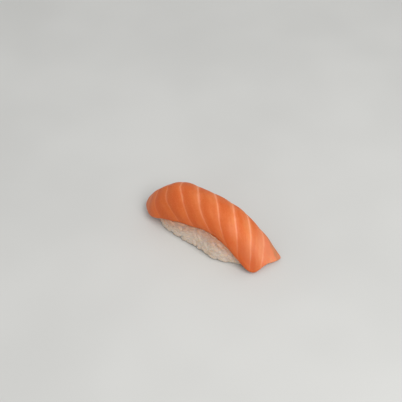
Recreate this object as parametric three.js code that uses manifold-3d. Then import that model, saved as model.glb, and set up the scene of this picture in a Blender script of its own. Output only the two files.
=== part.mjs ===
// Salmon nigiri: a hand-pressed block of rice under one slice of raw salmon.
//
// Millimetres, +Z up. The block stands on z = 0. +X runs along the slice, from its blunt end to the thin
// flap that lies down past the rice, and -Y is the front, the side on which more of the rice shows.
import * as THREE from "three";
import { mergeVertices } from "three/addons/utils/BufferGeometryUtils.js";
import Module from "manifold-3d";

const wasm = await Module();
wasm.setup();

// The slice. Three rails run its whole length: its two long edges and the crown between them.
const FRONT_EDGE = rail([
  [-40.9, -6.4, 5.4],
  [-33.3, -11.0, 5.8],
  [-20.0, -11.4, 11.5],
  [-8.0, -11.2, 15.0],
  [5.0, -11.0, 17.4],
  [16.0, -11.6, 15.2],
  [26.0, -11.8, 8.5],
  [34.6, -12.0, 2.5],
]);
const CROWN = rail([
  [-42.3, -1.3, 7.0],
  [-36.8, 0.4, 15.0],
  [-26.0, 1.4, 23.6],
  [-11.0, 1.5, 26.4],
  [5.0, 1.2, 26.1],
  [18.0, 0.5, 22.9],
  [30.0, -1.2, 13.2],
  [39.6, -2.6, 2.9],
]);
const BACK_EDGE = rail([
  [-40.7, 2.6, 7.2],
  [-34.4, 8.6, 9.5],
  [-24.0, 13.4, 13.0],
  [-10.0, 14.2, 13.8],
  [4.0, 13.8, 14.4],
  [16.0, 13.2, 13.4],
  [29.0, 11.0, 8.7],
  [42.0, 6.9, 2.4],
]);
const SLICE_LENGTH = 100; // along the crown
const SLICE_HALF_WIDTH = 17; // from the crown round to an edge
const BLUNT_HALF_WIDTH = 6; // the same at the blunt end, where the rails draw together
const ARCH_ANGLE = THREE.MathUtils.degToRad(76); // how far the arch turns between crown and edge
const THICKNESS_AT = [0, 0.1, 0.5, 0.85, 1];
const THICKNESS = [3.5, 4.5, 5.0, 3.9, 2.3];
const EDGE_RADIUS = 1.1;

// The slice's plan corners, and the shallow bay in the flap's end.
const BLUNT_CORNER = 4.5;
const FLAP_FRONT_CORNER = 8;
const FLAP_BACK_CORNER = 2.5;
const BAY_DEPTH = 1.6;
const BAY_WIDTH = 0.35; // in half widths of the slice

// The fat lines cross the slice at a slant, and the flesh swells a little between them. Each line is given by
// how far along the slice it crosses the front edge, the middle of the front half, the crown, the middle of
// the back half and the back edge.
const FAT_LINES = [
  [-0.03, -0.03, -0.03, -0.04, -0.06],
  [0.1, 0.085, 0.075, 0.06, 0.03],
  [0.22, 0.162, 0.155, 0.14, 0.1],
  [0.366, 0.258, 0.24, 0.212, 0.17],
  [0.47, 0.386, 0.333, 0.285, 0.24],
  [0.605, 0.502, 0.445, 0.382, 0.32],
  [0.752, 0.637, 0.559, 0.493, 0.43],
  [0.86, 0.787, 0.682, 0.617, 0.555],
  [0.99, 0.921, 0.817, 0.743, 0.675],
  [1.12, 1.035, 0.941, 0.874, 0.807],
  [1.27, 1.18, 1.07, 1.0, 0.94],
].map((crossings) => rail(crossings.map((along) => [along, 0, 0])));
const SWELL = 0.3;
const SWELL_FADE = 0.25; // the share of the slice over which the swell grows from the blunt end

// Steps of the slice's mesh: along it, across it, and round each rounded edge.
const STEPS_ALONG = 48;
const STEPS_ACROSS = 14;
const STEPS_ROUND = 2;

// The rice block: a superellipse in plan, with a domed top under the slice, a low bulge all round and one
// lump in its front side.
const RICE_MIDDLE = new THREE.Vector2(-0.8, 0.3);
const RICE_HALF_LENGTH = 31.2;
const RICE_HALF_WIDTH = 13;
const RICE_HEIGHT = 20;
const RICE_SQUARENESS = 3.5;
const RICE_DOME = 2.4;
const BULGE_HEIGHT = 5;
const BULGE_TAPER = 0.05;
const LUMP_DEPTH = 1.9;
const LUMP_LENGTH = 8;
const LUMP_AT = 11.5; // along the block from its middle
const CORE_DEPTH = 1.0; // how far the core's surface lies inside the block's outline
const CORE_STEPS_ROUND = 30;
const CORE_STEPS_UP = 7;

// The grains that show, fused to the core in rows from the bottom upwards.
const GRAIN_LENGTH = 5.8;
const GRAIN_WIDTH = 2.6;
const GRAIN_DEPTH = 2.4;
const GRAIN_SIDES = 5;
const GRAIN_RINGS = 4;
const GRAIN_SIZE_SPREAD = 0.2;
const GRAIN_TURN = 1.3; // the most that a grain turns away from the row's direction, in radians
const GRAIN_TILT = 0.25; // the most that a grain's end leans out of the block's side
const ROW_PITCH = 2.6;
const FIRST_ROW = 1.0;
const ROWS = 6;
const ROW_SPREAD = 0.9;
const GRAIN_PITCH = 5.1;
const GRAIN_PITCH_SPREAD = 0.3; // as a share of the pitch
const GRAIN_SEED = 4127;
const CLEAR_OF_SLICE = 1.2; // between the middle of the topmost grains and the slice's edge

const GAP = 0.35; // between the rice and the slice that lies on it
const SMALLEST_EDGE = 0.1; // shorter details are merged after the joins and cuts

// ---------------------------------------------------------------- small helpers

function rail(points) {
  const corners = points.map((point) => new THREE.Vector3(...point));
  return new THREE.CatmullRomCurve3(corners, false, "catmullrom", 0.5);
}

// Straight-line interpolation of values given at rising places.
function between(places, values, at) {
  let i = 1;
  while (i < places.length - 1 && at > places[i]) i += 1;
  const share = (at - places[i - 1]) / (places[i] - places[i - 1]);
  return THREE.MathUtils.lerp(values[i - 1], values[i], THREE.MathUtils.clamp(share, 0, 1));
}

// Numbers from 0 to 1, the same on every run.
function seededRandom(seed) {
  const modulus = 2147483647;
  let state = seed;
  return () => {
    state = (state * 16807) % modulus;
    return state / modulus;
  };
}

function solidFrom(geometry) {
  const bare = geometry.clone();
  bare.deleteAttribute("normal");
  bare.deleteAttribute("uv");
  const merged = mergeVertices(bare, 1e-4);
  const vertProperties = new Float32Array(merged.attributes.position.array);
  const triVerts = new Uint32Array(merged.index.array);
  return new wasm.Manifold(new wasm.Mesh({ numProp: 3, vertProperties, triVerts }));
}

function geometryFrom(solid) {
  const mesh = solid.getMesh();
  const geometry = new THREE.BufferGeometry();
  geometry.setAttribute("position", new THREE.BufferAttribute(mesh.vertProperties, 3));
  geometry.setIndex(new THREE.BufferAttribute(mesh.triVerts, 1));
  geometry.computeVertexNormals();
  return geometry;
}

function geometryOf(vertices, triangles) {
  const geometry = new THREE.BufferGeometry().setFromPoints(vertices);
  geometry.setIndex(triangles);
  return geometry;
}

// ---------------------------------------------------------------- the salmon slice

// A point of the slice's upper surface, at t along it (0 to 1) and s across it (-1 front to 1 back).
function archPoint(t, s) {
  const crown = CROWN.getPoint(t);
  const edge = (s < 0 ? FRONT_EDGE : BACK_EDGE).getPoint(t);
  const angle = Math.abs(s) * ARCH_ANGLE;
  const out = Math.sin(angle) / Math.sin(ARCH_ANGLE);
  const down = (1 - Math.cos(angle)) / (1 - Math.cos(ARCH_ANGLE));
  return new THREE.Vector3(
    THREE.MathUtils.lerp(crown.x, edge.x, out),
    THREE.MathUtils.lerp(crown.y, edge.y, out),
    THREE.MathUtils.lerp(crown.z, edge.z, down),
  );
}

function archNormal(t, s) {
  const step = 0.002;
  const along = archPoint(Math.min(t + step, 1), s).sub(archPoint(Math.max(t - step, 0), s));
  const across = archPoint(t, Math.min(s + step, 1)).sub(archPoint(t, Math.max(s - step, -1)));
  return along.cross(across).normalize();
}

// How far a corner of this radius pulls the end in, at a distance from the side.
function cornerPull(distance, radius) {
  const missing = radius - THREE.MathUtils.clamp(distance, 0, radius);
  return radius - Math.sqrt(radius * radius - missing * missing);
}

// Where the slice begins and ends along the rails, at s across it.
function sliceEnds(s) {
  const toFront = 1 + s;
  const toBack = 1 - s;
  const blunt = cornerPull(Math.min(toFront, toBack) * BLUNT_HALF_WIDTH, BLUNT_CORNER);
  const frontPull = cornerPull(toFront * SLICE_HALF_WIDTH, FLAP_FRONT_CORNER);
  const backPull = cornerPull(toBack * SLICE_HALF_WIDTH, FLAP_BACK_CORNER);
  const bay = BAY_DEPTH * Math.exp(-((s / BAY_WIDTH) ** 2));
  const flap = frontPull + backPull + bay;
  return [blunt / SLICE_LENGTH, 1 - flap / SLICE_LENGTH];
}

// The swell of the flesh between two fat lines, none on a line.
function swell(t, s) {
  const crossings = FAT_LINES.map((line) => line.getPoint((s + 1) / 2).x);
  const indices = crossings.map((_, i) => i);
  const line = between(crossings, indices, t);
  return SWELL * Math.min(t / SWELL_FADE, 1) * Math.sqrt(Math.abs(Math.sin(Math.PI * line)));
}

// A row of the slice's mesh: closer together towards the two ends of the range.
function eased(share, strength) {
  return share - (strength * Math.sin(2 * Math.PI * share)) / (2 * Math.PI);
}

// The slice as a closed net: an upper sheet, rings round its rounded edge, and a lower sheet. The net can
// be grown outwards, and its upper sheet lifted to a flat roof, which makes the cutter for the rice.
function sliceGeometry(grow, roof) {
  const upper = [];
  const lower = [];
  const normals = [];
  const depths = [];
  for (let i = 0; i <= STEPS_ALONG; i += 1) {
    for (let j = 0; j <= STEPS_ACROSS; j += 1) {
      const s = 2 * eased(j / STEPS_ACROSS, 0.5) - 1;
      const [first, last] = sliceEnds(s);
      const t = THREE.MathUtils.lerp(first, last, eased(i / STEPS_ALONG, 0.4));
      const normal = archNormal(t, s);
      const depth = between(THICKNESS_AT, THICKNESS, t);
      const point = archPoint(t, s);
      const onEdge = i === 0 || j === 0 || i === STEPS_ALONG || j === STEPS_ACROSS;
      const top = point.clone().addScaledVector(normal, onEdge ? 0 : swell(t, s));
      upper.push(roof === undefined ? top : new THREE.Vector3(top.x, top.y, roof));
      lower.push(point.clone().addScaledVector(normal, -depth - grow));
      normals.push(normal);
      depths.push(depth);
    }
  }

  const border = borderLoop();
  const count = border.length;
  const bottomStart = upper.length + 2 * STEPS_ROUND * count;
  const rings = [];
  const layers = ringProfile(grow);
  const bare = border.map((at) => lower[at].clone().addScaledVector(normals[at], depths[at] + grow));
  for (const { out, down, fromBottom } of layers) {
    border.forEach((at, k) => {
      const along = bare[(k + 1) % count].clone().sub(bare[(k + count - 1) % count]);
      const outward = along.cross(normals[at]).normalize();
      const fall = fromBottom ? depths[at] + down : down;
      rings.push(bare[k].clone().addScaledVector(outward, out).addScaledVector(normals[at], -fall));
    });
  }

  const triangles = [];
  const columns = STEPS_ACROSS + 1;
  for (let i = 0; i < STEPS_ALONG; i += 1) {
    for (let j = 0; j < STEPS_ACROSS; j += 1) {
      const a = i * columns + j;
      const quad = [a, a + columns, a + columns + 1, a + 1];
      triangles.push(quad[0], quad[1], quad[2], quad[0], quad[2], quad[3]);
      const under = quad.map((at) => at + bottomStart);
      triangles.push(under[0], under[2], under[1], under[0], under[3], under[2]);
    }
  }
  const loops = [border];
  layers.forEach((_, layer) => loops.push(border.map((_at, k) => upper.length + layer * count + k)));
  loops.push(border.map((at) => at + bottomStart));
  for (let layer = 1; layer < loops.length; layer += 1) {
    const above = loops[layer - 1];
    const below = loops[layer];
    for (let k = 0; k < count; k += 1) {
      const next = (k + 1) % count;
      triangles.push(above[k], below[k], below[next], above[k], below[next], above[next]);
    }
  }
  return geometryOf([...upper, ...rings, ...lower], triangles);
}

// The sheet's border as one loop of vertex numbers, from the blunt end's front corner towards the flap.
function borderLoop() {
  const columns = STEPS_ACROSS + 1;
  const loop = [];
  for (let i = 0; i < STEPS_ALONG; i += 1) loop.push(i * columns);
  for (let j = 0; j < STEPS_ACROSS; j += 1) loop.push(STEPS_ALONG * columns + j);
  for (let i = STEPS_ALONG; i > 0; i -= 1) loop.push(i * columns + STEPS_ACROSS);
  for (let j = STEPS_ACROSS; j > 0; j -= 1) loop.push(j);
  return loop;
}

// The rounded edge, from the upper sheet round to the lower one: how far out and how far down each ring is.
function ringProfile(grow) {
  const layers = [];
  for (let k = 1; k <= STEPS_ROUND; k += 1) {
    const angle = (Math.PI / 2) * (k / STEPS_ROUND);
    const out = (EDGE_RADIUS + grow) * Math.sin(angle);
    const down = EDGE_RADIUS * (1 - Math.cos(angle)) - grow * Math.cos(angle);
    layers.push({ out, down, fromBottom: false });
  }
  const mirrored = layers.map(({ out, down }) => ({ out, down: -down, fromBottom: true }));
  return [...layers, ...mirrored.reverse()];
}

// ---------------------------------------------------------------- the rice block

// The share of the block's full plan that is left at a height.
function riceShare(z) {
  const low = THREE.MathUtils.clamp((BULGE_HEIGHT - z) / BULGE_HEIGHT, 0, 1);
  const high = THREE.MathUtils.clamp((z - BULGE_HEIGHT) / (RICE_HEIGHT - BULGE_HEIGHT), 0, 1);
  return (1 - BULGE_TAPER * low * low) * (1 - high ** RICE_DOME) ** (1 / RICE_SQUARENESS);
}

// A point of the block's outline at a height, at an angle round it, lying a depth inside it.
function ricePoint(angle, z, depth) {
  const share = riceShare(z);
  const power = 2 / RICE_SQUARENESS;
  const cos = Math.cos(angle);
  const sin = Math.sin(angle);
  const x = Math.max(RICE_HALF_LENGTH * share - depth, 0) * Math.sign(cos) * Math.abs(cos) ** power;
  let y = Math.max(RICE_HALF_WIDTH * share - depth, 0) * Math.sign(sin) * Math.abs(sin) ** power;
  if (sin < 0) y -= LUMP_DEPTH * share * Math.exp(-(((x - LUMP_AT) / LUMP_LENGTH) ** 2));
  return new THREE.Vector3(RICE_MIDDLE.x + x, RICE_MIDDLE.y + y, z);
}

// The core, from below the resting face up to the dome.
function riceCore() {
  const below = -3;
  const vertices = [];
  for (let i = 0; i < CORE_STEPS_UP; i += 1) {
    const climb = Math.sin(((i - 1) / CORE_STEPS_UP) * (Math.PI / 2));
    const z = i === 0 ? below : (RICE_HEIGHT - CORE_DEPTH) * climb;
    for (let k = 0; k < CORE_STEPS_ROUND; k += 1) {
      vertices.push(ricePoint((2 * Math.PI * k) / CORE_STEPS_ROUND, z, CORE_DEPTH));
    }
  }
  const bottom = vertices.length;
  vertices.push(new THREE.Vector3(RICE_MIDDLE.x, RICE_MIDDLE.y, below));
  vertices.push(new THREE.Vector3(RICE_MIDDLE.x, RICE_MIDDLE.y, RICE_HEIGHT - CORE_DEPTH));
  const triangles = [];
  for (let k = 0; k < CORE_STEPS_ROUND; k += 1) {
    const next = (k + 1) % CORE_STEPS_ROUND;
    for (let i = 0; i < CORE_STEPS_UP - 1; i += 1) {
      const low = i * CORE_STEPS_ROUND;
      const high = low + CORE_STEPS_ROUND;
      triangles.push(low + k, low + next, high + next, low + k, high + next, high + k);
    }
    const last = (CORE_STEPS_UP - 1) * CORE_STEPS_ROUND;
    triangles.push(bottom, next, k, bottom + 1, last + k, last + next);
  }
  return solidFrom(geometryOf(vertices, triangles));
}

// The height of the slice's edge above a point of the rice's side.
function edgeHeight(point) {
  const edge = point.y < 0 ? FRONT_EDGE : BACK_EDGE;
  let t = 0;
  while (t < 1 && edge.getPoint(t).x < point.x) t += 0.01;
  return edge.getPoint(t).z;
}

// One grain lying in the block's side: its long axis near the side's own plane, half sunk in the core.
function grain(angle, z, random) {
  const step = 0.01;
  const at = (turned, height) => ricePoint(turned, height, CORE_DEPTH);
  const along = at(angle + step, z).sub(at(angle - step, z)).normalize();
  const up = at(angle, z + step).sub(at(angle, z - step)).normalize();
  const outward = along.clone().cross(up).normalize();
  const turn = (random() + random() - 1) * GRAIN_TURN;
  const tilt = (2 * random() - 1) * GRAIN_TILT;
  const axis = along.multiplyScalar(Math.cos(turn)).addScaledVector(up, Math.sin(turn));
  axis.addScaledVector(outward, tilt).normalize();
  const side = axis.clone().cross(outward).normalize();
  const face = side.clone().cross(axis);
  const size = 1 + (random() - 0.5) * GRAIN_SIZE_SPREAD;
  const shape = new THREE.SphereGeometry(0.5, GRAIN_SIDES, GRAIN_RINGS);
  shape.scale(GRAIN_WIDTH * size, GRAIN_LENGTH * size, GRAIN_DEPTH * size);
  shape.applyMatrix4(new THREE.Matrix4().makeBasis(side, axis, face).setPosition(at(angle, z)));
  return solidFrom(shape);
}

function riceGrains() {
  const random = seededRandom(GRAIN_SEED);
  const grains = [];
  for (let row = 0; row < ROWS; row += 1) {
    const step = 0.01;
    let angle = random();
    const end = angle + 2 * Math.PI;
    while (angle < end) {
      const z = FIRST_ROW + row * ROW_PITCH + (random() - 0.5) * ROW_SPREAD;
      const here = ricePoint(angle, z, CORE_DEPTH);
      if (z < edgeHeight(here) - CLEAR_OF_SLICE) grains.push(grain(angle, z, random));
      const radius = ricePoint(angle + step, z, CORE_DEPTH).distanceTo(here) / step;
      angle += (GRAIN_PITCH * (1 + (random() - 0.5) * GRAIN_PITCH_SPREAD)) / radius;
    }
  }
  return grains;
}

// All that the block's flat underside is cut off by.
function belowTheFloor() {
  const depth = 20;
  const box = new THREE.BoxGeometry(3 * RICE_HALF_LENGTH, 3 * RICE_HALF_WIDTH, depth);
  box.translate(RICE_MIDDLE.x, RICE_MIDDLE.y, -depth / 2);
  return solidFrom(box);
}

function riceGeometry() {
  const heap = riceGrains().reduce((whole, one) => whole.add(one), riceCore());
  const cutter = solidFrom(sliceGeometry(GAP, 2 * RICE_HEIGHT));
  const cut = heap.subtract(cutter).subtract(belowTheFloor()).simplify(SMALLEST_EDGE);
  const bodies = cut.decompose().sort((a, b) => b.volume() - a.volume());
  return geometryFrom(bodies[0]);
}

// ---------------------------------------------------------------- the part

const salmon = new THREE.MeshStandardMaterial({ color: 0xe5703c, roughness: 0.35, metalness: 0 });
const rice = new THREE.MeshStandardMaterial({ color: 0xe9e2d6, roughness: 0.5, metalness: 0 });

const slice = new THREE.Mesh(sliceGeometry(0), salmon);
slice.name = "salmon_slice";

const block = new THREE.Mesh(riceGeometry(), rice);
block.name = "rice_block";

const nigiri = new THREE.Group();
nigiri.add(slice, block);

export default nigiri;
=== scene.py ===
"""Salmon nigiri: the looks of one slice of raw salmon over a pressed block of rice.

Lengths are millimetres until a mesh is made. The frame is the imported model's: +X along the slice towards its
thin flap, -Y to the front, +Z up, with the rice standing on z = 0.
"""

import math

import bpy
import numpy as np
from mathutils import Matrix, Vector
from mathutils.bvhtree import BVHTree


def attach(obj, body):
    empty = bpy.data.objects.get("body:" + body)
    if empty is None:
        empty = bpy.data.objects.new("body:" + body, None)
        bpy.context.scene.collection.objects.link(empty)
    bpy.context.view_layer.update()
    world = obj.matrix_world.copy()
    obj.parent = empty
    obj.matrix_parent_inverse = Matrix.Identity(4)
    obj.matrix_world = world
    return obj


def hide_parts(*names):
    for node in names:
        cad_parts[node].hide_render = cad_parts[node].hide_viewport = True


METRE = 1000.0
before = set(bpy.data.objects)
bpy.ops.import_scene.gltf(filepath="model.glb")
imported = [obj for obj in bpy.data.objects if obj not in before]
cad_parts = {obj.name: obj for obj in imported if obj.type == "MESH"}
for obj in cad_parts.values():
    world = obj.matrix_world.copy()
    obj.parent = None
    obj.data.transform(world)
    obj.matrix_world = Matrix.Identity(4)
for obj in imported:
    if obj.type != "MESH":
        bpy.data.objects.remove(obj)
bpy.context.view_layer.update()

# The slice's three rails, from the blunt end to the flap: its two long edges and the crown between them.
FRONT_EDGE = np.array([
    (-40.9, -6.4, 5.4), (-33.3, -11.0, 5.8), (-20.0, -11.4, 11.5), (-8.0, -11.2, 15.0),
    (5.0, -11.0, 17.4), (16.0, -11.6, 15.2), (26.0, -11.8, 8.5), (34.6, -12.0, 2.5),
])
CROWN = np.array([
    (-42.3, -1.3, 7.0), (-36.8, 0.4, 15.0), (-26.0, 1.4, 23.6), (-11.0, 1.5, 26.4),
    (5.0, 1.2, 26.1), (18.0, 0.5, 22.9), (30.0, -1.2, 13.2), (39.6, -2.6, 2.9),
])
BACK_EDGE = np.array([
    (-40.7, 2.6, 7.2), (-34.4, 8.6, 9.5), (-24.0, 13.4, 13.0), (-10.0, 14.2, 13.8),
    (4.0, 13.8, 14.4), (16.0, 13.2, 13.4), (29.0, 11.0, 8.7), (42.0, 6.9, 2.4),
])
SLICE_LENGTH = 100.0
SLICE_HALF_WIDTH = 17.0
BLUNT_HALF_WIDTH = 6.0
ARCH_ANGLE = math.radians(76)
THICKNESS_AT = (0, 0.1, 0.5, 0.85, 1)
THICKNESS = (3.5, 4.5, 5.0, 3.9, 2.3)

# The slice's rounded edge, the radii of its corners, and the shallow bay in the flap's end.
EDGE_RADIUS = 1.1
EDGE_WAY = (math.pi - 2) * EDGE_RADIUS # how much longer the way round the edge is than the slice is thick
EDGE_WAVES = 0.3 # of the radius, in and out
EDGE_WAVE_SIZE = 9.0
EDGE_WAVE_SEED = 7
BLUNT_CORNER = 4.5
FLAP_FRONT_CORNER = 8.0
FLAP_BACK_CORNER = 2.5
BAY_DEPTH = 1.6
BAY_WIDTH = 0.35 # of the slice's half width

# The fat lines: how far along the slice each one crosses its front edge, the middle of its front half, its
# crown, the middle of its back half and its back edge; then how strongly it shows.
FAT_LINES = np.array([
    (-0.03, -0.03, -0.03, -0.04, -0.06, 0.0),
    (0.10, 0.085, 0.075, 0.06, 0.03, 0.15),
    (0.22, 0.162, 0.155, 0.14, 0.10, 0.28),
    (0.366, 0.258, 0.24, 0.212, 0.17, 0.37),
    (0.47, 0.386, 0.333, 0.285, 0.24, 0.62),
    (0.605, 0.502, 0.445, 0.382, 0.32, 0.8),
    (0.752, 0.637, 0.559, 0.493, 0.43, 0.88),
    (0.86, 0.787, 0.682, 0.617, 0.555, 1.0),
    (0.99, 0.921, 0.817, 0.743, 0.675, 1.05),
    (1.12, 1.035, 0.941, 0.874, 0.807, 0.8),
    (1.27, 1.18, 1.07, 1.0, 0.94, 0.2),
])
LINE_LEAN = 0.13 # of the slice's length, for each half width that a line runs on past the long edges

# The flesh swells between its fat lines, less so at the blunt end, and is a little uneven besides.
SWELL = 0.3
SWELL_FADE = 0.25 # of the slice's length
SWELL_MARGIN = 2.0
UNEVENNESS = ((0.16, 17.0, 5), (0.05, 6.0, 6)) # height, feature size and seed

# Steps of the slice's mesh: along it, across it, and round each rounded edge. Those along and across it are
# shorter towards its border.
STEPS_ALONG = 300
STEPS_ACROSS = 110
STEPS_ROUND = 6
SHORTER_AT_ENDS = 0.4
SHORTER_AT_SIDES = 0.5

# The rice block, as a superellipse with a domed top, a low bulge and one lump in its front side.
RICE_MIDDLE = (-0.8, 0.3)
RICE_HALF_LENGTH = 31.2
RICE_HALF_WIDTH = 13.0
RICE_HEIGHT = 20.0
RICE_SQUARENESS = 3.5
RICE_DOME = 2.4
BULGE_HEIGHT = 5.0
BULGE_TAPER = 0.05
LUMP_DEPTH = 1.9
LUMP_LENGTH = 8.0
LUMP_AT = 11.5

# One cooked grain, and how it is bent, tapered and nicked, in shares of its own size.
GRAIN_LENGTH = 5.8
GRAIN_WIDTH = 2.6
GRAIN_DEPTH = 2.4
GRAIN_SIDES = 12
GRAIN_RINGS = 12
GRAIN_PLUMPNESS = 2.8
GRAIN_BEND = 0.05
GRAIN_TAPER = 0.06
NICK_DEPTH = 0.16
NICK_AT = 0.75
NICK_LENGTH = 0.25

# The grains in the block's sides, over a smooth core. A layer is its depth, how close its grains lie to the
# earlier ones, in grain widths, and how many places are tried.
GRAIN_LAYERS = ((0.95, 0.78, 6000), (1.25, 0.52, 9000), (1.6, 0.36, 9000))
GRAIN_SEED = 4127
LAYER_SPREAD = 0.12
LOWEST_GRAIN = 0.8
MOST_LEAN = 0.1
MOST_TURN = 1.5 # radians from level
SIDE_SIZES = (0.9, 1.1)
GRAIN_STRETCH = (0.93, 1.07) # each way on its own
OUTLINE_STEPS = 720
SPINE_POINTS = 5
SPINE_REACH = 0.31 # of the grain's length, from its middle: this much is kept clear of the other grains
TIP_REACH = 0.35 # of the grain's length, from its middle: this much is kept under the slice
CLEAR_OF_SLICE = 1.0
EDGE_LINE_POINTS = 101 # along each long edge of the slice, to find how high the rice below it may reach

# The grains that lie under the block, in rows.
BOTTOM_SEED = 71
BOTTOM_HALF_LENGTH = 28.0
BOTTOM_HALF_WIDTH = 11.0
BOTTOM_STEP_ALONG = 4.6
BOTTOM_STEP_ACROSS = 2.7
BOTTOM_SHIFT_ALONG = 1.0
BOTTOM_SHIFT_ACROSS = 0.5
BOTTOM_HEIGHT = 0.95
BOTTOM_INSET = 3.0
BOTTOM_TURN = 0.5 # radians
BOTTOM_LEAN = 0.06
BOTTOM_SIZES = (0.92, 1.08)

# The core, the brim that holds the rice down beside the slice, and the skin over it all.
CORE_DEPTH = 1.0
CORE_STEPS_ROUND = 120
CORE_STEPS_UP = 24
BRIM_START = 0.5 # of the edge's radius
BRIM_WIDTH = 3.0
BRIM_RISE = 1.2
GRAIN_GAP = 0.2
SKIN_GAP = 0.02
VOXEL = 0.24
SOFTENING_ROUNDS = 5
KEPT_TRIANGLES = 0.6 # of the joined skin's
CREASE_ROUNDS = 30 # of smoothing, which reach about half a grain's width


# ------------------------------------------------------------------ the slice's surface

def on_rail(points, t):
    """Points of a uniform Catmull-Rom curve at t from 0 to 1."""
    spans = len(points) - 1
    place = np.clip(t, 0, 1) * spans
    first = np.clip(np.floor(place).astype(int), 0, spans - 1)
    w = (place - first)[:, None]
    ends = np.vstack([2 * points[0] - points[1], points, 2 * points[-1] - points[-2]])
    p0, p1, p2, p3 = (ends[first + k] for k in range(4))
    v0 = (p2 - p0) / 2
    v1 = (p3 - p1) / 2
    return p1 + v0 * w + (3 * (p2 - p1) - 2 * v0 - v1) * w**2 + (2 * (p1 - p2) + v0 + v1) * w**3


def arch_points(t, s):
    """Points of the slice's upper surface at t along it and s across it, -1 front to 1 back."""
    crown = on_rail(CROWN, t)
    edge = np.where((s < 0)[:, None], on_rail(FRONT_EDGE, t), on_rail(BACK_EDGE, t))
    angle = np.abs(s) * ARCH_ANGLE
    out = np.sin(angle) / math.sin(ARCH_ANGLE)
    down = (1 - np.cos(angle)) / (1 - math.cos(ARCH_ANGLE))
    return crown + (edge - crown) * np.c_[out, out, down]


def arch_normals(t, s):
    step = 0.002
    along = arch_points(np.minimum(t + step, 1), s) - arch_points(np.maximum(t - step, 0), s)
    across = arch_points(t, np.minimum(s + step, 1)) - arch_points(t, np.maximum(s - step, -1))
    normal = np.cross(along, across)
    return normal / np.linalg.norm(normal, axis=1)[:, None]


def corner_pull(distance, radius):
    """How far a round corner holds the end back, at a distance from the side."""
    missing = radius - np.clip(distance, 0, radius)
    return radius - np.sqrt(radius**2 - missing**2)


def slice_ends(s):
    """Where the slice begins and ends along the rails, at s across it."""
    to_front, to_back = 1 + s, 1 - s
    blunt = corner_pull(np.minimum(to_front, to_back) * BLUNT_HALF_WIDTH, BLUNT_CORNER)
    front_pull = corner_pull(to_front * SLICE_HALF_WIDTH, FLAP_FRONT_CORNER)
    back_pull = corner_pull(to_back * SLICE_HALF_WIDTH, FLAP_BACK_CORNER)
    bay = BAY_DEPTH * np.exp(-((s / BAY_WIDTH) ** 2))
    return blunt / SLICE_LENGTH, 1 - (front_pull + back_pull + bay) / SLICE_LENGTH


def line_phase(t, s):
    """A number that is whole on every fat line and rises by one from line to line."""
    inside = np.clip(s, -1, 1)
    crossings = on_rail(FAT_LINES[:, :5].T, (inside + 1) / 2).T - LINE_LEAN * (s - inside)
    phase = np.full(len(s), float(len(crossings) - 1))
    for k, (low, high) in enumerate(zip(crossings[:-1], crossings[1:])):
        between = (t >= low) & (t < high)
        phase[between] = k + (t - low)[between] / (high - low)[between]
    return phase


def eased(share, strength):
    """Shares from 0 to 1 moved so that their steps are shorter towards both ends."""
    return share - strength * np.sin(2 * np.pi * share) / (2 * np.pi)


def smooth_noise(points, size, seed):
    """Soft seeded noise of about this feature size, from a few crossing waves, mostly within -1 to 1."""
    rng = np.random.default_rng(seed)
    total = np.zeros(len(points))
    waves = 14
    for _ in range(waves):
        direction = rng.normal(size=3)
        direction /= np.linalg.norm(direction)
        pitch = size * rng.uniform(0.7, 1.6)
        total += np.sin(points @ direction * 2 * np.pi / pitch + rng.uniform(0, 2 * np.pi))
    return total / math.sqrt(waves / 2) / 2


# ------------------------------------------------------------------ the slice's mesh

def slice_relief(point, t, share, s):
    """How far the upper face stands out over the arch, fading to none at its border."""
    to_border = np.minimum(np.minimum(share, 1 - share) * SLICE_LENGTH, (1 - np.abs(s)) * SLICE_HALF_WIDTH)
    inner = np.clip(to_border / SWELL_MARGIN, 0, 1)
    swell = SWELL * np.minimum(t / SWELL_FADE, 1) * np.sqrt(np.abs(np.sin(np.pi * line_phase(t, s))))
    uneven = sum(height * smooth_noise(point, size, seed) for height, size, seed in UNEVENNESS)
    return inner * (swell + uneven)


def rounded_edge(point, normal, depth, outward):
    """The rings of points round the slice's edge, from its upper face down, and the way to each ring from the
    upper face's border."""
    whole_way = depth + EDGE_WAY
    wavy = EDGE_RADIUS * (1 + EDGE_WAVES * smooth_noise(point, EDGE_WAVE_SIZE, EDGE_WAVE_SEED))
    quarter = [math.pi / 2 * step / STEPS_ROUND for step in range(1, STEPS_ROUND + 1)]
    rings, ways = [], []
    for angle, from_bottom in [(a, False) for a in quarter] + [(a, True) for a in reversed(quarter)]:
        out = (wavy * math.sin(angle))[:, None]
        down = EDGE_RADIUS * (1 - math.cos(angle))
        fall = depth - down if from_bottom else np.full(len(point), down)
        rings.append(point + outward * out - normal * fall[:, None])
        turned = np.full(len(point), EDGE_RADIUS * angle)
        ways.append(whole_way - turned if from_bottom else turned)
    return rings, ways


def slice_quads(index, border, ring_count):
    """The quads of the upper face, of the lower face and of the rings between their borders."""
    columns = index.shape[1]
    a = index[:-1, :-1].ravel()
    upper = np.c_[a, a + columns, a + columns + 1, a + 1]
    count = len(border)
    lower_start = index.size + ring_count * count
    rings = [index.size + k * count + np.arange(count) for k in range(ring_count)]
    loops = [border, *rings, border + lower_start]
    edge = [np.c_[high, low, np.roll(low, -1), np.roll(high, -1)] for high, low in zip(loops[:-1], loops[1:])]
    return np.vstack([upper, upper[:, ::-1] + lower_start, *edge])


def line_numbers(t, s, share, way):
    """What the material reads at each vertex. The fat lines run on round the edge and over the underside, by
    the way from the upper face's border."""
    along = t + (2 * share - 1) * way / SLICE_LENGTH
    across = s * (1 + way / SLICE_HALF_WIDTH)
    phase = line_phase(along, across)
    return {
        "phase": phase,
        "along": along * SLICE_LENGTH,
        "across": across * SLICE_HALF_WIDTH,
        "strength": np.interp(phase, np.arange(len(FAT_LINES)), FAT_LINES[:, 5]),
    }


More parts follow.
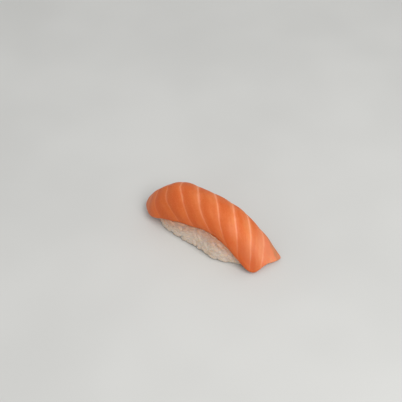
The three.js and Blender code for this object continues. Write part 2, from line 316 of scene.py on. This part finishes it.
def slice_net():
    """The slice as vertices, quads and the numbers that its material reads at each vertex, and its brim."""
    rows, columns = STEPS_ALONG + 1, STEPS_ACROSS + 1
    rows_at = eased(np.linspace(0, 1, rows), SHORTER_AT_ENDS)
    columns_at = 2 * eased(np.linspace(0, 1, columns), SHORTER_AT_SIDES) - 1
    share, s = (grid.ravel() for grid in np.meshgrid(rows_at, columns_at, indexing="ij"))
    first, last = slice_ends(s)
    t = first + (last - first) * share
    point = arch_points(t, s)
    normal = arch_normals(t, s)
    depth = np.interp(t, THICKNESS_AT, THICKNESS)
    upper = point + normal * slice_relief(point, t, share, s)[:, None]
    lower = point - normal * depth[:, None]

    index = np.arange(rows * columns).reshape(rows, columns)
    border = np.concatenate([index[:-1, 0], index[-1, :-1], index[:0:-1, -1], index[0, :0:-1]])
    along = np.roll(point[border], -1, 0) - np.roll(point[border], 1, 0)
    outward = np.cross(along, normal[border])
    outward /= np.linalg.norm(outward, axis=1)[:, None]
    rings, ways = rounded_edge(point[border], normal[border], depth[border], outward)
    vertices = np.vstack([upper, *rings, lower])
    quads = slice_quads(index, border, len(rings))

    whole = index.ravel()
    order = np.concatenate([whole, np.tile(border, len(rings)), whole])
    way = np.concatenate([np.zeros(len(whole)), *ways, depth + EDGE_WAY])
    numbers = line_numbers(t[order], s[order], share[order], way)

    # A brim round the slice, which isn't seen: it holds the rice down beside the slice's edge.
    rim = point[border] + BRIM_START * EDGE_RADIUS * outward
    brim = rim, rim + BRIM_WIDTH * normal[border] + (0, 0, BRIM_RISE)
    return vertices, quads, numbers, brim


# ------------------------------------------------------------------ mesh and material helpers

def store(mesh, numbers):
    """Puts float numbers on a mesh's vertices, for its material to read."""
    for key, values in numbers.items():
        attribute = mesh.attributes.new(key, "FLOAT", "POINT")
        attribute.data.foreach_set("value", values.astype(np.float32))


def mesh_object(name, vertices, faces):
    """A smooth mesh object in metres from millimetre vertices."""
    mesh = bpy.data.meshes.new(name)
    mesh.from_pydata((vertices / METRE).tolist(), [], [tuple(face) for face in faces])
    mesh.shade_smooth()
    mesh.update()
    thing = bpy.data.objects.new(name, mesh)
    bpy.context.scene.collection.objects.link(thing)
    return thing


class Nodes:
    """Short names for building one material's nodes."""

    def __init__(self, name):
        self.material = bpy.data.materials.new(name)
        self.material.use_nodes = True
        self.tree = self.material.node_tree
        self.shader = self.tree.nodes["Principled BSDF"]

    def add(self, kind, inputs=None, **settings):
        node = self.tree.nodes.new(kind)
        for key, value in settings.items():
            setattr(node, key, value)
        for key, value in (inputs or {}).items():
            self.feed(node.inputs[key], value)
        return node

    def feed(self, socket, value):
        if isinstance(value, bpy.types.NodeSocket):
            self.tree.links.new(value, socket)
        else:
            socket.default_value = value

    def math(self, operation, *values):
        return self.add("ShaderNodeMath", dict(enumerate(values)), operation=operation).outputs[0]

    def plus(self, a, b):
        return self.math("ADD", a, b)

    def times(self, first, *others):
        for other in others:
            first = self.math("MULTIPLY", first, other)
        return first

    def line(self, value, slope, start):
        """The start plus the slope times the value."""
        return self.math("MULTIPLY_ADD", value, slope, start)

    def attribute(self, name):
        return self.add("ShaderNodeAttribute", attribute_name=name).outputs["Fac"]

    def mix(self, factor, a, b):
        """From colour a to colour b, as the factor goes from 0 to 1; past those it stays."""
        node = self.add("ShaderNodeMix", data_type="RGBA")
        self.feed(node.inputs["Factor"], factor)
        self.feed(node.inputs[6], a)
        self.feed(node.inputs[7], b)
        return node.outputs[2]

    def ramp(self, value, low, high, to_low=0.0, to_high=1.0):
        """Maps a value smoothly from one range to another."""
        inputs = {"Value": value, "From Min": low, "From Max": high, "To Min": to_low, "To Max": to_high}
        return self.add("ShaderNodeMapRange", inputs, interpolation_type="SMOOTHSTEP").outputs["Result"]

    def noise(self, vector, scale, detail, roughness=0.55):
        inputs = {"Vector": vector, "Scale": scale, "Detail": detail, "Roughness": roughness}
        return self.add("ShaderNodeTexNoise", inputs).outputs["Fac"]

    def waver(self, vector, scale, detail, height):
        """Noise about zero, of this height from its lowest to its highest."""
        return self.times(self.math("SUBTRACT", self.noise(vector, scale, detail), 0.5), height)

    def vector(self, x, y):
        return self.add("ShaderNodeCombineXYZ", {0: x, 1: y}).outputs[0]

    def object_mm(self):
        """The point on the object, in millimetres."""
        place = self.add("ShaderNodeTexCoord").outputs["Object"]
        scale = self.add("ShaderNodeVectorMath", {0: place, 1: (METRE,) * 3}, operation="MULTIPLY")
        return scale.outputs[0]

    def bump(self, height, distance, strength):
        inputs = {"Height": height, "Distance": distance / METRE, "Strength": strength}
        return self.add("ShaderNodeBump", inputs).outputs["Normal"]

    def set(self, **values):
        for key, value in values.items():
            self.feed(self.shader.inputs[key.replace("_", " ")], value)


def srgb(red, green, blue):
    """An 8-bit sRGB colour as the linear colour that shaders take."""
    shares = [level / 255 for level in (red, green, blue)]
    linear = [share / 12.92 if share <= 0.04045 else ((share + 0.055) / 1.055) ** 2.4 for share in shares]
    return (*linear, 1.0)


# ------------------------------------------------------------------ the salmon's material

# The first two are each a pair: near the blunt end, and towards the flap.
DEEP_FLESH = srgb(204, 96, 42), srgb(221, 109, 47)
LIGHT_FLESH = srgb(220, 113, 53), srgb(238, 146, 88)
BLOTCHES = srgb(214, 88, 36)
FIBRES = srgb(246, 150, 100)
SPECKLES = srgb(206, 82, 30)
BACK_HALF_SHADE = srgb(214, 93, 28)
HALO = srgb(246, 150, 100)
FAT = srgb(251, 177, 138)
BLUNT_END_PALE_AND_HIGHLIGHT = srgb(224, 158, 128)
FLAP_END_HIGHLIGHT = srgb(232, 158, 126)
FRONT_SIDE_SHADE = srgb(196, 90, 40)
FLAP_LOBE_SHADE = srgb(190, 92, 52)
SKIN_SIDE = srgb(188, 122, 84)


def fat_lines(n, place, phase, across, towards_flap):
    """Soft pale bands at every whole phase, uneven in width, fainter and thinner down the front: how far on
    from the last line a point is, how much fat shows there, and how much of the faint halo beside it."""
    wavy = n.plus(n.plus(phase, n.waver(place, 0.2, 2, 0.06)), n.waver(place, 1.3, 3, 0.025))
    beyond = n.math("FRACT", wavy)
    beside = n.math("ABSOLUTE", n.math("SUBTRACT", n.math("FRACT", n.plus(wavy, 0.5)), 0.5))
    down_front = n.ramp(across, -16.0, -3.0)
    uneven_width = n.ramp(n.noise(place, 0.16, 2), 0.3, 0.7, 0.055, 0.095)
    nearness = n.math("DIVIDE", beside, n.times(uneven_width, n.line(down_front, 0.35, 0.65)))
    at_front = n.line(towards_flap, 0.35, 0.4)
    more_above = n.line(towards_flap, -0.35, 0.6)
    patchy = n.ramp(n.noise(n.vector(phase, n.times(across, 0.12)), 2.2, 2), 0.25, 0.6, 0.6, 1.0)
    shown = n.times(n.attribute("strength"), n.line(down_front, more_above, at_front), patchy)
    fat = n.times(n.ramp(nearness, 0.1, 1.3, 1.0, 0.0), shown)
    halo = n.times(n.ramp(nearness, 0.6, 4.0, 1.0, 0.0), shown)
    return beyond, fat, halo


def flesh_colour(n, place, phase, across, towards_flap, beyond, fibres):
    """The flesh without its fat: deeper near the blunt end and just past each line, with soft streaks and
    fine fibres along the lines, and painted shade on its back half."""
    streaks = n.noise(n.vector(n.times(phase, 3.0), n.times(across, 0.1)), 1.1, 2, 0.5)
    paleness = n.line(streaks, 0.6, n.times(n.ramp(beyond, 0.0, 1.0), 0.4))
    deep = n.mix(towards_flap, *DEEP_FLESH)
    light = n.mix(towards_flap, *LIGHT_FLESH)
    colour = n.mix(n.ramp(paleness, 0.25, 0.85), deep, light)
    colour = n.mix(n.ramp(n.noise(place, 0.1, 3), 0.35, 0.75, 0.0, 0.3), colour, BLOTCHES)
    colour = n.mix(n.ramp(fibres, 0.35, 0.75, 0.0, 0.2), colour, FIBRES)
    colour = n.mix(n.ramp(n.noise(place, 0.7, 4, 0.65), 0.4, 0.75, 0.0, 0.16), colour, SPECKLES)
    # Painted shade: the back half is deepened, damping the pale sheen it catches at grazing angles.
    return n.mix(n.ramp(across, -1.0, 12.0, 0.0, 0.44), colour, BACK_HALF_SHADE)


def ends_and_rim(n, colour, place, along, across):
    """A paler blunt end, partly paler flesh at its cut and partly a painted highlight where the cut edge
    catches the light; a painted highlight on the flap's end; painted shade on the front side and on the flap's
    front lobe; and the brownish skin side of the slice, which is its back edge and widens towards the flap's
    tip."""
    # Paler blunt end: partly paler flesh at its cut, partly a painted highlight where the cut edge catches the
    # light.
    blunt = n.times(n.ramp(along, 3.0, 22.0, 0.3, 0.0), n.ramp(across, -9.0, 12.0, 1.0, 0.0))
    colour = n.mix(blunt, colour, BLUNT_END_PALE_AND_HIGHLIGHT)
    # Painted highlight on the flap's end, where it faces the light.
    pale = n.times(n.ramp(along, 76.0, 92.0, 0.0, 0.4), n.ramp(across, -10.0, 2.0))
    colour = n.mix(pale, colour, FLAP_END_HIGHLIGHT)
    # Painted shade down the front side of the slice, where it turns under.
    front_shade = n.times(n.ramp(across, -15.0, -1.0, 1.0, 0.0), n.ramp(along, 35.0, 85.0, 0.2, 0.75))
    colour = n.mix(front_shade, colour, FRONT_SIDE_SHADE)

    # Painted shade on the flap's front lobe. At the front edge itself the first ramp is under nought, where
    # the mix leaves the colour as it is.
    lobe = n.times(n.ramp(across, -17.0, -10.0, -0.3, 0.35), n.ramp(across, -8.0, 1.0, 1.0, 0.0))
    lobe = n.times(lobe, n.ramp(along, 74.0, 86.0))
    colour = n.mix(lobe, colour, FLAP_LOBE_SHADE)

    ragged = n.ramp(n.noise(place, 0.24, 2), 0.25, 0.75, -0.9, 0.9)
    rim = n.plus(n.plus(across, ragged), n.ramp(along, 74.0, 101.0, 0.3, 8.0))
    brown = n.times(n.ramp(rim, 15.4, 18.6), n.ramp(n.noise(place, 0.3, 2), 0.3, 0.7, 0.5, 0.75))
    return n.mix(brown, colour, SKIN_SIDE)


def salmon_material():
    n = Nodes("raw_salmon")
    place = n.object_mm()
    phase, along, across = n.attribute("phase"), n.attribute("along"), n.attribute("across")
    towards_flap = n.ramp(along, 20.0, 95.0)
    fibres = n.noise(n.vector(n.times(phase, 22.0), n.times(across, 1.6)), 1.0, 3, 0.6)
    beyond, fat, halo = fat_lines(n, place, phase, across, towards_flap)
    colour = flesh_colour(n, place, phase, across, towards_flap, beyond, fibres)
    colour = n.mix(n.times(halo, 0.3), colour, HALO)
    colour = n.mix(n.times(fat, 0.6), colour, FAT)
    colour = ends_and_rim(n, colour, place, along, across)

    height = n.plus(n.times(fibres, 0.4), n.times(fat, 0.8))
    rough = n.ramp(n.noise(place, 0.5, 3), 0.3, 0.7, 0.46, 0.58)
    n.set(Base_Color=colour, Roughness=rough, Normal=n.bump(height, 0.09, 0.7))
    n.set(IOR=1.35, Specular_IOR_Level=0.28, Coat_Weight=0.05, Coat_Roughness=0.25)
    n.set(Subsurface_Weight=0.4, Subsurface_Scale=0.002, Subsurface_Radius=(1.0, 0.32, 0.14))
    return n.material


# ------------------------------------------------------------------ the rice's and the floor's materials

RICE_CROWNS = srgb(200, 179, 161), srgb(210, 189, 172)
RICE_CREASE_LIGHT = srgb(229, 212, 197)
RICE_STAIN_AND_SHADE = srgb(186, 118, 82)
LOWEST_RICE_SHADE = srgb(120, 104, 88)
NEAR_FLOOR = srgb(208, 208, 205), srgb(214, 214, 211)
FAR_FLOOR_LIGHT = srgb(250, 250, 248)


def rice_material():
    n = Nodes("cooked_rice")
    place = n.object_mm()
    tone = n.plus(n.times(n.noise(place, 0.5, 3), 0.7), n.times(n.attribute("tone"), 0.3))
    colour = n.mix(n.ramp(tone, 0.2, 0.8), *RICE_CROWNS)

    # Painted light: the creases, where wet starch lies between grains, are lightened to stand in for light
    # that comes through the grains into them.
    colour = n.mix(n.ramp(n.attribute("crease"), -0.3, 0.35), colour, RICE_CREASE_LIGHT)

    # Just below the slice's edge the rice is tinted: partly a stain from the salmon, mostly painted shade and
    # painted orange bounce light from the slice. The lowest grains are darkened with painted shade.
    colour = n.mix(n.ramp(n.attribute("below"), 0.0, 9.0, 0.7, 0.0), colour, RICE_STAIN_AND_SHADE)
    height = n.add("ShaderNodeSeparateXYZ", {0: place}).outputs["Z"]
    colour = n.mix(n.ramp(height, 0.2, 1.8, 0.5, 0.0), colour, LOWEST_RICE_SHADE)

    rough = n.ramp(n.noise(place, 1.4, 2), 0.3, 0.7, 0.38, 0.52)
    n.set(Base_Color=colour, Roughness=rough, Normal=n.bump(n.noise(place, 2.2, 3), 0.04, 0.5))
    n.set(IOR=1.4, Specular_IOR_Level=0.35, Coat_Weight=0.2, Coat_Roughness=0.24)
    n.set(Subsurface_Weight=1.0, Subsurface_Scale=0.004, Subsurface_Radius=(1.0, 0.8, 0.6))
    return n.material


def floor_material():
    n = Nodes("pale_floor")
    place = n.object_mm()
    colour = n.mix(n.ramp(n.noise(place, 0.01, 2), 0.3, 0.7), *NEAR_FLOOR)
    away = n.add("ShaderNodeVectorMath", {0: place}, operation="LENGTH").outputs["Value"]
    # Painted light: far from the piece the floor grows lighter, so that it meets the sky's brightness without
    # a line.
    colour = n.mix(n.ramp(away, 400.0, 3000.0), colour, FAR_FLOOR_LIGHT)
    n.set(Base_Color=colour, Roughness=0.6)
    return n.material


# ------------------------------------------------------------------ the rice

EDGE_LINES = [on_rail(rail, np.linspace(0, 1, EDGE_LINE_POINTS)) for rail in (FRONT_EDGE, BACK_EDGE)]


def rice_share(z):
    """How much of its full half length and half width the block has at a height."""
    low = min(max((BULGE_HEIGHT - z) / BULGE_HEIGHT, 0), 1)
    high = min(max((z - BULGE_HEIGHT) / (RICE_HEIGHT - BULGE_HEIGHT), 0), 1)
    return (1 - BULGE_TAPER * low * low) * (1 - high**RICE_DOME) ** (1 / RICE_SQUARENESS)


def rice_point(angle, z, depth):
    """A point of the block's outline at a height, at an angle round it, lying a depth inside it."""
    share = rice_share(z)
    power = 2 / RICE_SQUARENESS
    cos, sin = math.cos(angle), math.sin(angle)
    x = max(RICE_HALF_LENGTH * share - depth, 0) * math.copysign(abs(cos) ** power, cos)
    y = max(RICE_HALF_WIDTH * share - depth, 0) * math.copysign(abs(sin) ** power, sin)
    if sin < 0:
        y -= LUMP_DEPTH * share * math.exp(-(((x - LUMP_AT) / LUMP_LENGTH) ** 2))
    return np.array((RICE_MIDDLE[0] + x, RICE_MIDDLE[1] + y, z))


def edge_height(points):
    """How high the slice's nearer long edge is, over points of the rice."""
    front, back = (np.interp(points[..., 0], line[:, 0], line[:, 2]) for line in EDGE_LINES)
    return np.where(points[..., 1] < 0, front, back)


def unit(vector):
    return vector / np.linalg.norm(vector)


def side_grains(rng):
    """Grains lying in the block's side at random, layer by layer inwards, each where no earlier one lies.
    A grain is its middle, its three axes and its size."""
    turns = np.linspace(0, 2 * math.pi, OUTLINE_STEPS + 1)
    outline = np.array([rice_point(turn, BULGE_HEIGHT, CORE_DEPTH) for turn in turns])
    way = np.concatenate([[0], np.cumsum(np.linalg.norm(np.diff(outline, axis=0), axis=1))])
    reach = np.linspace(-SPINE_REACH, SPINE_REACH, SPINE_POINTS)[:, None] * GRAIN_LENGTH
    found, taken = [], np.full((1, 3), np.inf)
    for depth, closeness, tries in GRAIN_LAYERS:
        for _ in range(tries):
            angle = np.interp(rng.uniform(0, way[-1]), way, turns)
            z = rng.uniform(LOWEST_GRAIN, RICE_HEIGHT)
            inside = depth + rng.uniform(-LAYER_SPREAD, LAYER_SPREAD)
            lean = rng.uniform(-MOST_LEAN, MOST_LEAN)
            turn = rng.triangular(-MOST_TURN, 0, MOST_TURN)
            size = rng.uniform(*SIDE_SIZES)
            middle = rice_point(angle, z, inside)
            if z + TIP_REACH * GRAIN_LENGTH * abs(math.sin(turn)) > edge_height(middle) - CLEAR_OF_SLICE:
                continue
            step = 0.01
            along = unit(rice_point(angle + step, z, inside) - rice_point(angle - step, z, inside))
            up = unit(rice_point(angle, z + step, inside) - rice_point(angle, z - step, inside))
            outward = unit(np.cross(along, up))
            axis = unit(along * math.cos(turn) + up * math.sin(turn) + outward * lean)
            spine = middle + reach * axis
            if np.linalg.norm(taken[:, None] - spine, axis=2).min() < closeness * GRAIN_WIDTH:
                continue
            taken = np.vstack([taken, spine])
            side = unit(np.cross(axis, outward))
            found.append((middle, side, axis, np.cross(side, axis), size))
    return found


def bottom_grains():
    """Grains that lie on the floor side by side under the block, each as the side's grains are given."""
    rng = np.random.default_rng(BOTTOM_SEED)
    found = []
    for row in np.arange(-BOTTOM_HALF_WIDTH, BOTTOM_HALF_WIDTH, BOTTOM_STEP_ACROSS):
        for place in np.arange(-BOTTOM_HALF_LENGTH, BOTTOM_HALF_LENGTH, BOTTOM_STEP_ALONG):
            x = place + rng.uniform(-BOTTOM_SHIFT_ALONG, BOTTOM_SHIFT_ALONG) + RICE_MIDDLE[0]
            y = row + rng.uniform(-BOTTOM_SHIFT_ACROSS, BOTTOM_SHIFT_ACROSS)
            outside = abs((x - RICE_MIDDLE[0]) / (RICE_HALF_LENGTH - BOTTOM_INSET)) ** RICE_SQUARENESS
            outside += abs((y - RICE_MIDDLE[1]) / (RICE_HALF_WIDTH - BOTTOM_INSET)) ** RICE_SQUARENESS
            turn = rng.normal(0, BOTTOM_TURN)
            if outside < 1:
                lean = rng.uniform(-BOTTOM_LEAN, BOTTOM_LEAN)
                axis = unit(np.array((math.cos(turn), math.sin(turn), lean)))
                side = unit(np.cross(axis, (0, 0, 1)))
                size = rng.uniform(*BOTTOM_SIZES)
                found.append((np.array((x, y, BOTTOM_HEIGHT)), side, axis, np.cross(side, axis), size))
    return found


def grain_shape():
    """One cooked grain about its middle, of length, width and depth 1, with its length along Y: plump, a
    little bent, and nicked at one end."""
    vertices = [(0.0, -0.5, 0.0)]
    for ring in range(1, GRAIN_RINGS):
        place = -math.cos(math.pi * ring / GRAIN_RINGS)
        radius = (1 - abs(place) ** GRAIN_PLUMPNESS) ** 0.5 * (1 - GRAIN_TAPER * place)
        nick = NICK_DEPTH * math.exp(-((place - NICK_AT) / NICK_LENGTH) ** 2)
        for k in range(GRAIN_SIDES):
            turn = 2 * math.pi * k / GRAIN_SIDES
            x = radius * math.cos(turn) * (1 - nick * max(math.cos(turn), 0) ** 2)
            z = radius * math.sin(turn)
            vertices.append((0.5 * x + GRAIN_BEND * (1 - place * place), 0.5 * place, 0.5 * z))
    vertices.append((0.0, 0.5, 0.0))
    faces = []
    for k in range(GRAIN_SIDES):
        after = (k + 1) % GRAIN_SIDES
        faces.append((0, 1 + k, 1 + after))
        for ring in range(GRAIN_RINGS - 2):
            low, high = 1 + ring * GRAIN_SIDES, 1 + (ring + 1) * GRAIN_SIDES
            faces.append((low + k, high + k, high + after))
            faces.append((low + k, high + after, low + after))
        last = 1 + (GRAIN_RINGS - 2) * GRAIN_SIDES
        faces.append((len(vertices) - 1, last + after, last + k))
    return np.array(vertices), np.array(faces)


def rice_core():
    """The body of the block behind the grains that show, as vertices and triangles."""
    climb = np.linspace(0, math.pi / 2, CORE_STEPS_UP, endpoint=False)
    heights = (RICE_HEIGHT - CORE_DEPTH) * np.sin(climb)
    turns = np.linspace(0, 2 * math.pi, CORE_STEPS_ROUND, endpoint=False)
    rings = [[rice_point(turn, z, CORE_DEPTH) for turn in turns] for z in heights]
    poles = [(*RICE_MIDDLE, 0), (*RICE_MIDDLE, RICE_HEIGHT - CORE_DEPTH)]
    vertices = np.vstack([np.array(rings).reshape(-1, 3), poles])
    bottom, top = len(vertices) - 2, len(vertices) - 1
    k = np.arange(CORE_STEPS_ROUND)
    after = (k + 1) % CORE_STEPS_ROUND
    last = (CORE_STEPS_UP - 1) * CORE_STEPS_ROUND
    faces = [np.c_[np.full(len(k), bottom), after, k], np.c_[np.full(len(k), top), last + k, last + after]]
    for low in range(0, last, CORE_STEPS_ROUND):
        high = low + CORE_STEPS_ROUND
        faces.append(np.c_[low + k, low + after, high + after])
        faces.append(np.c_[low + k, high + after, high + k])
    return vertices, np.vstack(faces)


def ceiling_over_rice(vertices, quads, brim):
    """The slice and its brim, to find how high the rice may reach."""
    inner, outer = brim
    k = np.arange(len(inner)) + len(vertices)
    strip = np.c_[k, k + len(inner), np.roll(k, -1) + len(inner), np.roll(k, -1)]
    points = np.vstack([vertices, inner, outer])
    return BVHTree.FromPolygons(points.tolist(), np.vstack([quads, strip]).tolist())


def press_under(vertices, ceiling, gap):
    """Pushes vertices down to a gap under the slice and up to the floor."""
    pressed = vertices.copy()
    up = Vector((0, 0, 1))
    for i, (x, y, z) in enumerate(vertices):
        under = ceiling.ray_cast(Vector((x, y, -SLICE_LENGTH)), up)[0]
        if under is not None:
            pressed[i, 2] = min(z, under.z - gap)
    pressed[:, 2] = np.maximum(pressed[:, 2], 0.0)
    return pressed


def melted(vertices, faces):
    """Closed shells joined into one skin, with soft creases where they meet, as vertices and polygons."""
    lump = mesh_object("lump", vertices, faces)
    remesh = lump.modifiers.new("join", "REMESH")
    remesh.mode = "VOXEL"
    remesh.voxel_size = VOXEL / METRE
    smooth = lump.modifiers.new("soften", "SMOOTH")
    smooth.factor = 0.5
    smooth.iterations = SOFTENING_ROUNDS
    thin_out = lump.modifiers.new("thin_out", "DECIMATE")
    thin_out.ratio = KEPT_TRIANGLES
    skin = lump.evaluated_get(bpy.context.evaluated_depsgraph_get()).to_mesh()
    points = np.empty(len(skin.vertices) * 3)
    skin.vertices.foreach_get("co", points)
    polygons = [tuple(polygon.vertices) for polygon in skin.polygons]
    bpy.data.objects.remove(lump)
    return points.reshape(-1, 3) * METRE, polygons


def outer_skin(points, polygons):
    """The skin without the small bubbles that a join leaves inside: what hangs together with its end."""
    around = {}
    for polygon in polygons:
        for vertex in polygon:
            around.setdefault(vertex, []).append(polygon)
    ahead = [int(points[:, 0].argmin())]
    reached = set(ahead)
    while ahead:
        for polygon in around[ahead.pop()]:
            new = [vertex for vertex in polygon if vertex not in reached]
            reached.update(new)
            ahead.extend(new)
    kept = sorted(reached)
    number = {vertex: k for k, vertex in enumerate(kept)}
    outer = [tuple(number[vertex] for vertex in polygon) for polygon in polygons if polygon[0] in reached]
    return points[kept], outer


def crease_depth(mesh):
    """How deep each vertex lies in a crease, in millimetres: how far under the same mesh smoothed over."""
    points, normals = np.empty((2, len(mesh.vertices), 3), np.float32)
    mesh.vertices.foreach_get("co", points.ravel())
    mesh.vertex_normals.foreach_get("vector", normals.ravel())
    edges = np.empty((len(mesh.edges), 2), np.int32)
    mesh.edges.foreach_get("vertices", edges.ravel())
    starts, ends = np.vstack([edges, edges[:, ::-1]]).T
    around = np.bincount(starts, minlength=len(points))
    smoothed = points
    for _ in range(CREASE_ROUNDS):
        smoothed = np.stack([np.bincount(starts, axis[ends]) / around for axis in smoothed.T], axis=1)
    return ((smoothed - points) * normals).sum(axis=1) * METRE


def rice(ceiling):
    """The block of rice: every grain that can show, stuck together over the core."""
    rng = np.random.default_rng(GRAIN_SEED)
    grains = side_grains(rng) + bottom_grains()
    shape, faces = grain_shape()
    scale = np.array((GRAIN_WIDTH, GRAIN_LENGTH, GRAIN_DEPTH))
    parts, joined = [], []
    for k, (middle, side, axis, face, size) in enumerate(grains):
        flip = rng.choice((-1.0, 1.0))
        body = shape * scale * size * rng.uniform(*GRAIN_STRETCH, 3)
        parts.append(middle + body @ np.array((side * flip, axis * flip, face)))
        joined.append(faces + k * len(shape))
    points, triangles = np.vstack(parts), np.vstack(joined)

    core_points, core_triangles = rice_core()
    loose = press_under(np.vstack([points, core_points]), ceiling, GRAIN_GAP)
    skin, polygons = outer_skin(*melted(loose, np.vstack([triangles, core_triangles + len(points)])))
    block = mesh_object("rice_grains", press_under(skin, ceiling, SKIN_GAP), polygons)

    nearest = BVHTree.FromPolygons(points.tolist(), triangles.tolist())
    owner = [nearest.find_nearest(Vector(point))[2] // len(faces) for point in skin]
    tones = rng.uniform(size=len(grains))
    below = edge_height(skin) - skin[:, 2]
    store(block.data, {"tone": tones[owner], "below": below, "crease": crease_depth(block.data)})
    return block


# ------------------------------------------------------------------ the object

vertices, quads, numbers, brim = slice_net()
salmon = mesh_object("salmon_flesh", vertices, quads)
store(salmon.data, numbers)
salmon.data.materials.append(salmon_material())
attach(salmon, "root")
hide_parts("salmon_slice")

grains = rice(ceiling_over_rice(vertices, quads, brim))
grains.data.materials.append(rice_material())
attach(grains, "root")
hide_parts("rice_block")


# ------------------------------------------------------------------ floor, lights and camera, in metres

FLOOR_SIZE = 60.0
FLOOR_DROP = 0.00005 # under the rice's flat foot
SKY_STRENGTH = 0.56
KEY_PLACE = (0.52, -0.2, 0.74)
KEY_AIM = (0, 0, 0.01)
KEY_SIZE = 0.6
KEY_POWER = 5.2

# The camera of the photograph, solved from the plate's rim.
CAMERA_PLACE = (0.1564, -0.2354, 0.3301)
CAMERA_AIM = (-0.38847, 0.56223, -0.73006)
CAMERA_ROLL = math.radians(-0.322)
CAMERA_LENS = 68.3 # millimetres
SENSOR_WIDTH = 36.0 # millimetres


def floor():
    bpy.ops.mesh.primitive_plane_add(size=FLOOR_SIZE)
    plane = bpy.context.active_object
    plane.name = "floor"
    plane.location.z = -FLOOR_DROP
    plane.data.materials.append(floor_material())


def key_light():
    """A square soft light aimed at the middle of the piece."""
    light = bpy.data.lights.new("key", "AREA")
    light.shape = "SQUARE"
    light.size = KEY_SIZE
    light.energy = KEY_POWER
    lamp = bpy.data.objects.new("key", light)
    lamp.location = KEY_PLACE
    aim = Vector(KEY_AIM) - Vector(KEY_PLACE)
    lamp.rotation_euler = aim.to_track_quat("-Z", "Y").to_euler()
    bpy.context.scene.collection.objects.link(lamp)


def sky():
    """A plain white sky, for most of the light."""
    world = bpy.data.worlds.new("studio")
    world.use_nodes = True
    background = world.node_tree.nodes["Background"]
    background.inputs["Color"].default_value = (1.0, 1.0, 1.0, 1.0)
    background.inputs["Strength"].default_value = SKY_STRENGTH
    bpy.context.scene.world = world


def camera():
    data = bpy.data.cameras.new("camera")
    data.sensor_width = SENSOR_WIDTH
    data.lens = CAMERA_LENS
    data.clip_start = 0.01
    thing = bpy.data.objects.new("camera", data)
    turn = Vector(CAMERA_AIM).to_track_quat("-Z", "Y").to_matrix() @ Matrix.Rotation(CAMERA_ROLL, 3, "Z")
    thing.matrix_world = Matrix.Translation(CAMERA_PLACE) @ turn.to_4x4()
    bpy.context.scene.collection.objects.link(thing)
    bpy.context.scene.camera = thing


floor()
key_light()
sky()
camera()
bpy.context.scene.view_settings.view_transform = "Standard"
